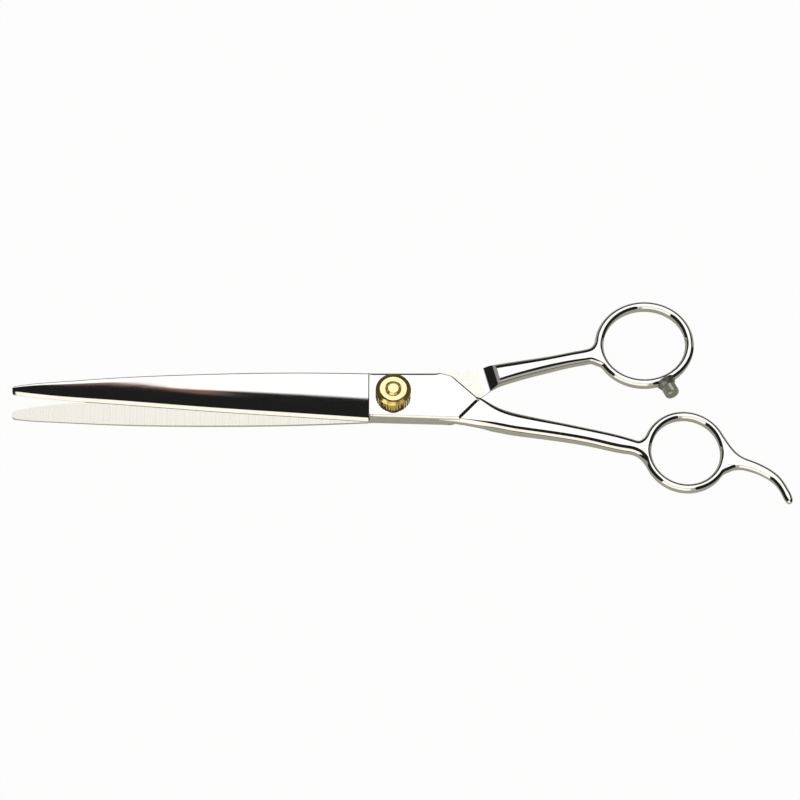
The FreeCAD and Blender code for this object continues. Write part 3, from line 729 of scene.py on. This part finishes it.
def bumper_collar():
    """Steel seat of the bumper, a part of the thumb ring."""
    profile = [(0, -SEAT_ROOT), (SEAT_RADIUS + SEAT_FLARE, -SEAT_ROOT), (SEAT_RADIUS, 0),
               (BUMPER_RADIUS + SEAT_SOFT, SEAT_HEIGHT - SEAT_SOFT), (BUMPER_RADIUS, SEAT_HEIGHT),
               (0, SEAT_HEIGHT)]
    return shade(lathe("bumper_collar", profile, bumper_place()))


# ======== materials ========
NOISE_LOW, NOISE_HIGH = 0.3, 0.7    # the part of a noise that spans a range of tones or roughness


def node_material(name):
    """New material, its node tree and its shader."""
    material = bpy.data.materials.new(name)
    material.use_nodes = True
    tree = material.node_tree
    return material, tree, tree.nodes["Principled BSDF"]


def noise(tree, scale, detail, stretch=(1, 1, 1)):
    """Noise in the object's own coordinates, in metres."""
    where = tree.nodes.new("ShaderNodeTexCoord")
    mapping = tree.nodes.new("ShaderNodeMapping")
    mapping.inputs["Scale"].default_value = stretch
    texture = tree.nodes.new("ShaderNodeTexNoise")
    texture.inputs["Scale"].default_value = scale
    texture.inputs["Detail"].default_value = detail
    tree.links.new(where.outputs["Object"], mapping.inputs["Vector"])
    tree.links.new(mapping.outputs["Vector"], texture.inputs["Vector"])
    return texture.outputs["Fac"]


def ranged(tree, value, low, high):
    """Noise as a number between low and high."""
    remap = tree.nodes.new("ShaderNodeMapRange")
    remap.inputs["From Min"].default_value = NOISE_LOW
    remap.inputs["From Max"].default_value = NOISE_HIGH
    remap.inputs["To Min"].default_value = low
    remap.inputs["To Max"].default_value = high
    tree.links.new(value, remap.inputs["Value"])
    return remap.outputs["Result"]


def mixed(tree, value, dark, light):
    """Noise as a colour between dark and light."""
    ramp = tree.nodes.new("ShaderNodeValToRGB")
    ramp.color_ramp.elements[0].position = NOISE_LOW
    ramp.color_ramp.elements[1].position = NOISE_HIGH
    ramp.color_ramp.elements[0].color = dark + (1,)
    ramp.color_ramp.elements[1].color = light + (1,)
    tree.links.new(value, ramp.inputs["Fac"])
    return ramp.outputs["Color"]


def surface(name, metallic, dark, light, smooth, rough, grain, rough_grain=None):
    """Material whose colour and roughness vary with noise.

    A noise is (scale, detail, stretch). Roughness has its own where one is given.
    """
    material, tree, bsdf = node_material(name)
    bsdf.inputs["Metallic"].default_value = metallic
    tones = noise(tree, *grain)
    spots = noise(tree, *rough_grain) if rough_grain else tones
    tree.links.new(mixed(tree, tones, dark, light), bsdf.inputs["Base Color"])
    tree.links.new(ranged(tree, spots, smooth, rough), bsdf.inputs["Roughness"])
    return material


def polished_steel():
    """Mirror polish with a faint haze."""
    return surface("polished_steel", 1, (0.77, 0.768, 0.745), (0.83, 0.828, 0.805), 0.035, 0.06,
                   (220, 4), (900, 2, (0.15, 1, 1)))


def ground_steel(name, dark, light):
    """Steel with fine grinding lines across the blade."""
    return surface(name, 1, dark, light, 0.16, 0.26, (1900, 0, (1, 0.015, 0.015)))


def gold(name, dark, light, roughness, metallic):
    """Gold plating; a metallic share below 1 leaves it a little colour of its own."""
    return surface(name, metallic, dark, light, roughness, roughness + 0.06, (500, 3), (1500, 2))


def rubber():
    """Olive rubber with fine bumps, smooth enough for a soft highlight."""
    material = surface("bumper_rubber", 0, (0.19, 0.19, 0.125), (0.25, 0.25, 0.175), 0.12, 0.19, (2500, 3))
    tree = material.node_tree
    bsdf, grain = tree.nodes["Principled BSDF"], tree.nodes["Noise Texture"]
    bsdf.inputs["IOR"].default_value = 2.6
    bump = tree.nodes.new("ShaderNodeBump")
    bump.inputs["Strength"].default_value = 1.0
    bump.inputs["Distance"].default_value = 0.02 * MM
    tree.links.new(grain.outputs["Fac"], bump.inputs["Height"])
    tree.links.new(bump.outputs["Normal"], bsdf.inputs["Normal"])
    return material


def plain_steel(name, tone, roughness):
    """Unpolished steel: its tone varies up to 12 % lighter, its roughness up to half more."""
    light = tuple(min(1, c * 1.12) for c in tone)
    return surface(name, 1, tone, light, roughness, roughness * 1.5, (1200, 2))


def nylon():
    """Pale plastic of the friction washer and the lock ring."""
    return surface("nylon", 0, (0.72, 0.71, 0.66), (0.80, 0.79, 0.74), 0.4, 0.5, (800, 3))


# ======== build ========
steel = polished_steel()
# paler copy of the gold plating for faces that face up: painted highlight for the light those tops catch
top_highlight_gold = gold("gold_top_painted_highlight", (0.97, 0.78, 0.40), (1.0, 0.84, 0.48), 0.07, 1)
deep_gold = gold("gold_plating", (0.90, 0.64, 0.19), (1.0, 0.73, 0.25), 0.1, 0.92)
ground = ground_steel("ground_steel", (0.665, 0.64, 0.58), (0.81, 0.785, 0.715))
bright_ground = ground_steel("bright_ground_steel", (0.78, 0.77, 0.70), (0.84, 0.83, 0.76))
worn = plain_steel("worn_steel", (0.30, 0.30, 0.27), 0.36)


def finish_half(pieces, body, node, place):
    """Materials of one half: polished all over, with a ground ride face."""
    down = (place.to_3x3() @ Vector((0, 0, -1))).normalized()
    ride = (place @ Vector((0, 0, RIDE_GAP))).dot(down)
    for piece in pieces:
        shade(piece)
        piece.data.materials.clear()
        piece.data.materials.append(worn if piece.name == "bumper_collar" else steel)
        piece.data.materials.append(ground if "blade" in piece.name else bright_ground)
        for face in piece.data.polygons:
            on_ride = face.normal.dot(down) > SAME_PLANE and abs(face.center.dot(down) - ride) < 0.01 * MM
            face.material_index = 1 if on_ride else 0
        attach(piece, body)
        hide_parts(node)


front = [blade("front_blade", FRONT_BLADE, FRONT_SPINE_ROUND, FRONT_NOSE, FRONT),
         block("front_block", FRONT_BLOCK, FRONT),
         handle("front_handle", FRONT_NECK_Y, FRONT_ROOT, FRONT_SHANK, FINGER_RING, FRONT_RIMS, FRONT,
                rest=True)]
rear = [blade("rear_blade", REAR_BLADE, REAR_SPINE_ROUND, REAR_NOSE, REAR),
        block("rear_block", REAR_BLOCK, REAR),
        handle("rear_handle", REAR_NECK_Y, REAR_ROOT, REAR_SHANK, THUMB_RING, REAR_RIMS, REAR)]
finish_half(front, "front_half", "front_blade_half", FRONT)
finish_half(rear + [bumper_collar()], "rear_half", "rear_blade_half", REAR)

for piece, body, node, slot, material in (
        (thumb_nut(), "nut", "thumb_nut", "gold_plated_nut", deep_gold),
        (pivot_bolt(), "rear_half", "pivot_bolt", "gold_plated_nut", deep_gold),
        (stop_bumper(), "rear_half", "stop_bumper", "bumper_rubber", rubber())):
    piece.data.materials.append(material)
    if material is deep_gold:
        # faces that face up take the paler gold copy: painted highlight on the tops of nut and bolt
        piece.data.materials.append(top_highlight_gold)
        for face in piece.data.polygons:
            face.material_index = 1 if face.normal.z > FACING_UP else 0
    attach(piece, body)
    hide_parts(node)

turned = plain_steel("turned_steel", (0.55, 0.55, 0.54), 0.2)
spring = plain_steel("spring_steel", (0.32, 0.32, 0.33), 0.28)
white = nylon()
for node, material in (("pivot_bushing", turned), ("flat_washer", turned), ("spring_washer", spring),
                       ("friction_washer", white), ("nut_lock_ring", white)):
    nodes[node].data.materials.clear()
    nodes[node].data.materials.append(material)

# ======== studio ========
TILT = math.radians(25)             # of the camera's view from the vertical
DISTANCE = 1.0
FOV = 2 * math.atan(400 / 3521)     # half the picture and the distance to it, in pixels
AIM = PIVOT + Vector((1.89, 0.4, 0)) * MM
FLOOR_HALF = 0.17
FLOOR_COLOUR = (0.47, 0.462, 0.37, 1)       # as the steel's walls reflect it
FLOOR_WHITE = (("Is Camera Ray", 0.97), ("Is Transmission Ray", 0.97), ("Is Glossy Ray", 0.05))
LAMP_SIZE = 0.7
LAMP_POWER = 6.0
LAMP_AT = 0, -0.5, 1.1
LAMP_LEAN = math.radians(24.5)

# The studio that polished surfaces reflect. Directions in degrees: lean from the vertical, positive to the
# front, and turn to the right. A pair is start and end of a soft edge.
WHITE = (1, 1, 1, 1)
CREAM = (1, 0.96, 0.84, 1)
BROWN = (1, 0.45, 0.28, 1)
DARK = 0.015                # the room beside the lights
MAIN_LIGHT = 1.3
MAIN_BACK = -41, -39
MAIN_FRONT = -11.0          # its front edge,
MAIN_SETBACK = -9.0         # which steps back on the left
SETBACK_TURN = 4.6, 6.1
MAIN_EDGE = 0, 2
MAIN_SIDE = 24, 30
FRONT_LIGHT = 1.25
FRONT_LOW = 38, 41
FRONT_HIGH = 80, 83
FRONT_SIDE = 44, 50
FRONT_RISE = 12.0           # how much further back it begins at its ends
RISE_TURN = 20, 35
FRONT_DIM = 0.6             # share that it loses on the right
DIM_TURN = 5, 11
CREAM_LEAN = 22, 34         # its light is cream from here on
LEFT_WING, LEFT_WING_TURN = 0.3, (66, 71)
RIGHT_WING, RIGHT_WING_TURN = 0.12, (62, 68)
BROWN_LIGHT = 0.26          # a dim brown surface in front of the main light, on the left
BROWN_TURN = 3.5, 6.5, 0.8  # start, end and softness
BROWN_FADE = 2.5, 7.0       # distance from the main light over which it fades
PLAIN_LIGHT = 0.5           # even light on everything else
BACKDROP_LIFT = 0.48        # and what the backdrop has more of it, seen from the camera

camera_data = bpy.data.cameras.new("camera")
camera_data.sensor_width = 36
camera_data.angle = FOV
camera_data.clip_start = 0.01
camera = add_object("camera", camera_data)
away = Vector((0, -math.sin(TILT), math.cos(TILT)))
camera.matrix_world = Matrix.Translation(AIM + away * DISTANCE) @ Matrix.Rotation(TILT, 4, "X")
bpy.context.scene.camera = camera

floor_mesh = bpy.data.meshes.new("floor")
corners = [(x * FLOOR_HALF, y * FLOOR_HALF, 0) for x, y in ((-1, -1), (1, -1), (1, 1), (-1, 1))]
floor_mesh.from_pydata(corners, [], [(0, 1, 2, 3)])
floor = add_object("floor", floor_mesh)
material, tree, bsdf = node_material("floor")
bsdf.inputs["Base Color"].default_value = FLOOR_COLOUR
bsdf.inputs["Roughness"].default_value = 0.9
bsdf.inputs["Specular IOR Level"].default_value = 0
# seen by the camera the floor is mostly plain white paper, which still shows the shadow
paper = tree.nodes.new("ShaderNodeEmission")
lift = tree.nodes.new("ShaderNodeMixShader")
path = tree.nodes.new("ShaderNodeLightPath")
shares = None
for ray, share in FLOOR_WHITE:
    part = tree.nodes.new("ShaderNodeMath")
    part.operation = "MULTIPLY_ADD"
    part.inputs[1].default_value = share
    part.inputs[2].default_value = 0
    tree.links.new(path.outputs[ray], part.inputs[0])
    if shares is not None:
        tree.links.new(shares, part.inputs[2])
    shares = part.outputs[0]
tree.links.new(shares, lift.inputs[0])
tree.links.new(bsdf.outputs[0], lift.inputs[1])
tree.links.new(paper.outputs[0], lift.inputs[2])
tree.links.new(lift.outputs[0], tree.nodes["Material Output"].inputs["Surface"])
floor_mesh.materials.append(material)


def studio_world():
    """Soft even light for diffuse surfaces, and a softbox studio for polished ones."""
    world = bpy.data.worlds.new("studio")
    bpy.context.scene.world = world
    world.use_nodes = True
    tree = world.node_tree
    background = tree.nodes["Background"]

    def math_node(operation, *inputs):
        node = tree.nodes.new("ShaderNodeMath")
        node.operation = operation
        for index, value in enumerate(inputs):
            if hasattr(value, "is_output"):
                tree.links.new(value, node.inputs[index])
            else:
                node.inputs[index].default_value = value
        return node.outputs[0]

    def step(value, low, high):
        """Soft edge: 0 up to low, 1 from high on."""
        ramp = tree.nodes.new("ShaderNodeMapRange")
        ramp.interpolation_type = "SMOOTHSTEP"
        tree.links.new(value, ramp.inputs["Value"])
        ramp.inputs["From Min"].default_value = low
        ramp.inputs["From Max"].default_value = high
        return ramp.outputs["Result"]

    direction = tree.nodes.new("ShaderNodeTexCoord").outputs["Generated"]
    split = tree.nodes.new("ShaderNodeSeparateXYZ")
    tree.links.new(direction, split.inputs[0])
    x, y, z = split.outputs

    def before(value, low, high):
        """Soft edge the other way: 1 up to low, 0 from high on."""
        return math_node("SUBTRACT", 1.0, step(value, low, high))

    def window(value, start, end, soft):
        """Share between two soft edges."""
        return math_node("SUBTRACT", step(value, start, start + soft), step(value, end, end + soft))

    def product(*values):
        total = values[0]
        for value in values[1:]:
            total = math_node("MULTIPLY", total, value)
        return total

    lean = math_node("MULTIPLY", math_node("ARCTAN2", math_node("MULTIPLY", y, -1.0), z), 180 / math.pi)
    turn = math_node("MULTIPLY", math_node("ARCSINE", x), 180 / math.pi)
    left = math_node("MULTIPLY", turn, -1.0)
    side = math_node("ABSOLUTE", turn)
    low_edge = math_node("ADD", MAIN_FRONT, product(MAIN_SETBACK, step(left, *SETBACK_TURN)))
    below = math_node("SUBTRACT", lean, low_edge)
    past_edge = step(below, *MAIN_EDGE)
    main = product(MAIN_LIGHT, math_node("SUBTRACT", step(lean, *MAIN_BACK), past_edge),
                   before(side, *MAIN_SIDE))
    rising = math_node("ADD", lean, product(FRONT_RISE, step(side, *RISE_TURN)))
    front = product(FRONT_LIGHT, math_node("SUBTRACT", step(rising, *FRONT_LOW), step(lean, *FRONT_HIGH)),
                    before(side, *FRONT_SIDE),
                    math_node("SUBTRACT", 1.0, product(FRONT_DIM, step(turn, *DIM_TURN))))
    wings = math_node("ADD", product(LEFT_WING, step(left, *LEFT_WING_TURN)),
                      product(RIGHT_WING, step(turn, *RIGHT_WING_TURN)))
    glossy = math_node("ADD", DARK, math_node("ADD", main, math_node("MAXIMUM", front, wings)))
    path = tree.nodes.new("ShaderNodeLightPath")
    is_glossy = path.outputs["Is Glossy Ray"]
    brown = product(window(left, *BROWN_TURN), past_edge, before(below, *BROWN_FADE), is_glossy)
    cream = product(step(lean, *CREAM_LEAN), is_glossy)
    last = None
    for share, colour in ((cream, CREAM), (brown, BROWN)):
        tint = tree.nodes.new("ShaderNodeMix")
        tint.data_type = "RGBA"
        factor, without, tinted = tint.inputs[0], tint.inputs[6], tint.inputs[7]
        tree.links.new(share, factor)
        without.default_value = WHITE
        tinted.default_value = colour
        if last is not None:
            tree.links.new(last, without)
        last = tint.outputs[2]
    tree.links.new(last, background.inputs["Color"])
    glossy = math_node("ADD", glossy, product(BROWN_LIGHT, brown))
    plain = math_node("ADD", PLAIN_LIGHT, product(BACKDROP_LIFT, path.outputs["Is Camera Ray"]))
    strength = math_node("ADD", product(is_glossy, glossy),
                         product(math_node("SUBTRACT", 1.0, is_glossy), plain))
    tree.links.new(strength, background.inputs["Strength"])


studio_world()

lamp_data = bpy.data.lights.new("key", "AREA")
lamp_data.shape = "SQUARE"
lamp_data.size = LAMP_SIZE
lamp_data.energy = LAMP_POWER
lamp = add_object("key", lamp_data)
lamp.matrix_world = Matrix.Translation(LAMP_AT) @ Matrix.Rotation(LAMP_LEAN, 4, "X")
lamp.visible_glossy = False

bpy.context.scene.view_settings.view_transform = "Standard"
